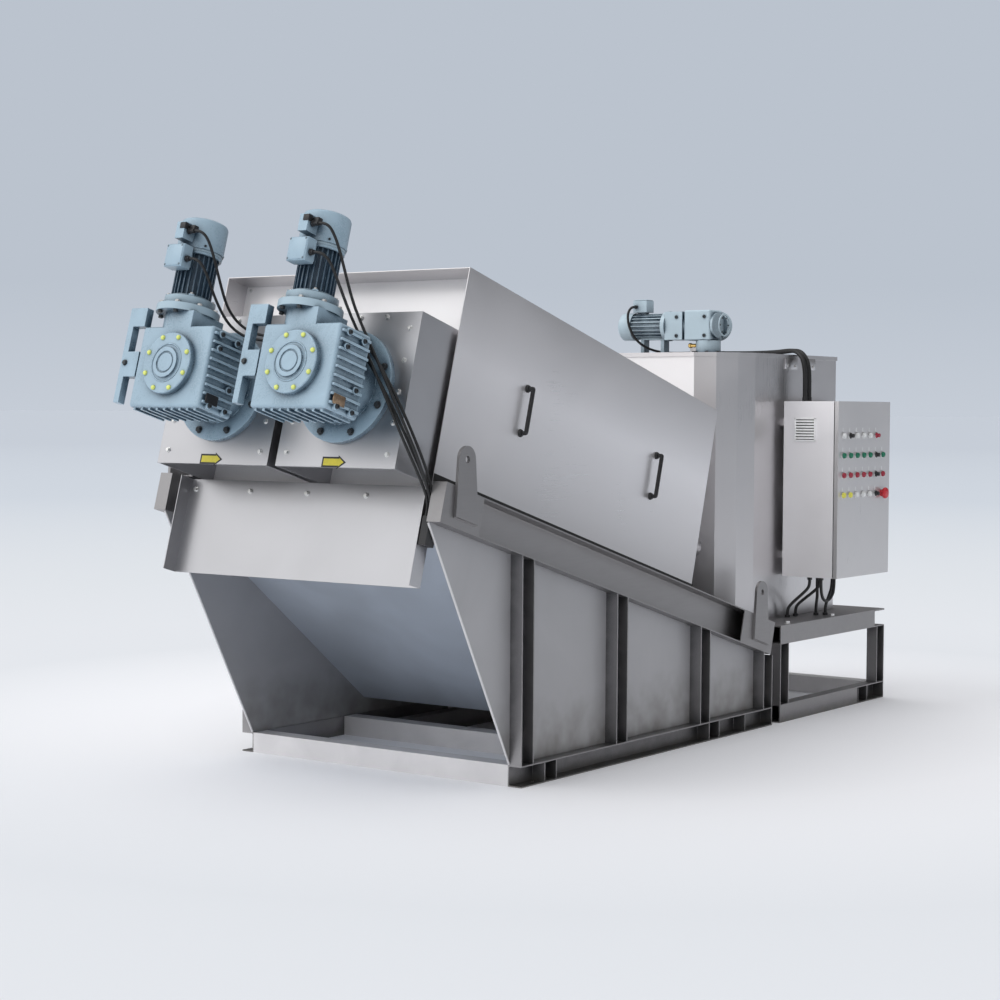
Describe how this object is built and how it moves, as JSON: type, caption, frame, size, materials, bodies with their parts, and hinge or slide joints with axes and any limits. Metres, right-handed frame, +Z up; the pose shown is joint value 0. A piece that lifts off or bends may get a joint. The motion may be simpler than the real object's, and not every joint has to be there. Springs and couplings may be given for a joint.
{
  "type": "sludge dewatering screw press",
  "caption": "Screw press for dewatering sludge: sloping hooded screws with geared drives at the raised end, a flocculation tank with mixer behind and a control cabinet.",
  "frame": {"origin": "centre of the four anchor holes in the base, on the floor", "axes": "+Y runs back from the raised drive end to the tank, +X is towards the control cabinet, +Z is up"},
  "size_m": [1.909, 4.9139, 2.5991],
  "materials": {
    "stainless_sheet": "brushed stainless sheet, pickled at the welds",
    "frame_steel": "bead-blasted stainless sections",
    "machined_steel": "turned steel",
    "blue_grey_paint": "light blue-grey machine enamel",
    "cabinet_steel": "fine brushed stainless sheet",
    "black_plastic": "moulded black plastic",
    "black_rubber": "black rubber strip",
    "button_plastic": "coloured push buttons and lamps",
    "cable_black": "black cable sheath"
  },
  "bodies": {
    "machine": {"base_rails": "frame_steel", "bulkhead": "stainless_sheet", "cabinet_body": "cabinet_steel", "cabinet_brackets": "cabinet_steel", "cable_cabinet_1": "cable_black", "cable_cabinet_2": "cable_black", "cable_cabinet_3": "cable_black", "cable_cabinet_4": "cable_black", "cable_conduit_a": "cable_black", "cable_conduit_b": "cable_black", "cable_fan_left": "cable_black", "cable_fan_right": "cable_black", "cable_glands": "black_plastic", "cable_loop": "cable_black", "cable_mixer": "cable_black", "cable_motor_left": "cable_black", "cable_motor_right": "cable_black", "cross_beams": "frame_steel", "deflector": "stainless_sheet", "drive_boxes": "stainless_sheet", "drive_plates": "stainless_sheet", "fan_covers": "blue_grey_paint", "feed_pipes": "stainless_sheet", "frame_ties": "frame_steel", "gear_covers": "blue_grey_paint", "gear_necks": "blue_grey_paint", "gear_units": "blue_grey_paint", "hood_handles": "black_plastic", "hood_ledges": "frame_steel", "hood_rear": "stainless_sheet", "hood_seals": "black_rubber", "hood_sides": "stainless_sheet", "hood_top": "stainless_sheet", "lid_box": "stainless_sheet", "lifting_lugs": "frame_steel", "mixer_gear_unit": "blue_grey_paint", "mixer_motor": "blue_grey_paint", "motors": "blue_grey_paint", "press_posts": "frame_steel", "screw_shafts": "machined_steel", "side_plates": "stainless_sheet", "sloping_beams": "frame_steel", "stand_beams": "frame_steel", "stand_deck": "frame_steel", "stand_legs": "frame_steel", "stand_rails": "frame_steel", "tank_back": "stainless_sheet", "tank_corners": "stainless_sheet", "tank_floor": "stainless_sheet", "tank_front": "stainless_sheet", "tank_lid": "stainless_sheet", "tank_sides": "stainless_sheet", "terminal_boxes": "blue_grey_paint", "torque_arms": "blue_grey_paint", "tray_floor": "stainless_sheet", "tray_front": "stainless_sheet"},
    "door": {"cabinet_buttons": "button_plastic", "cabinet_door": "cabinet_steel"}
  },
  "joints": [
    {"name": "cabinet_door_hinge", "type": "hinge", "parent": "machine", "child": "door", "pos_m": [0.988, 1.668, 0.785], "axis": [0, 0, 1], "range_deg": [0, 120]}
  ]
}
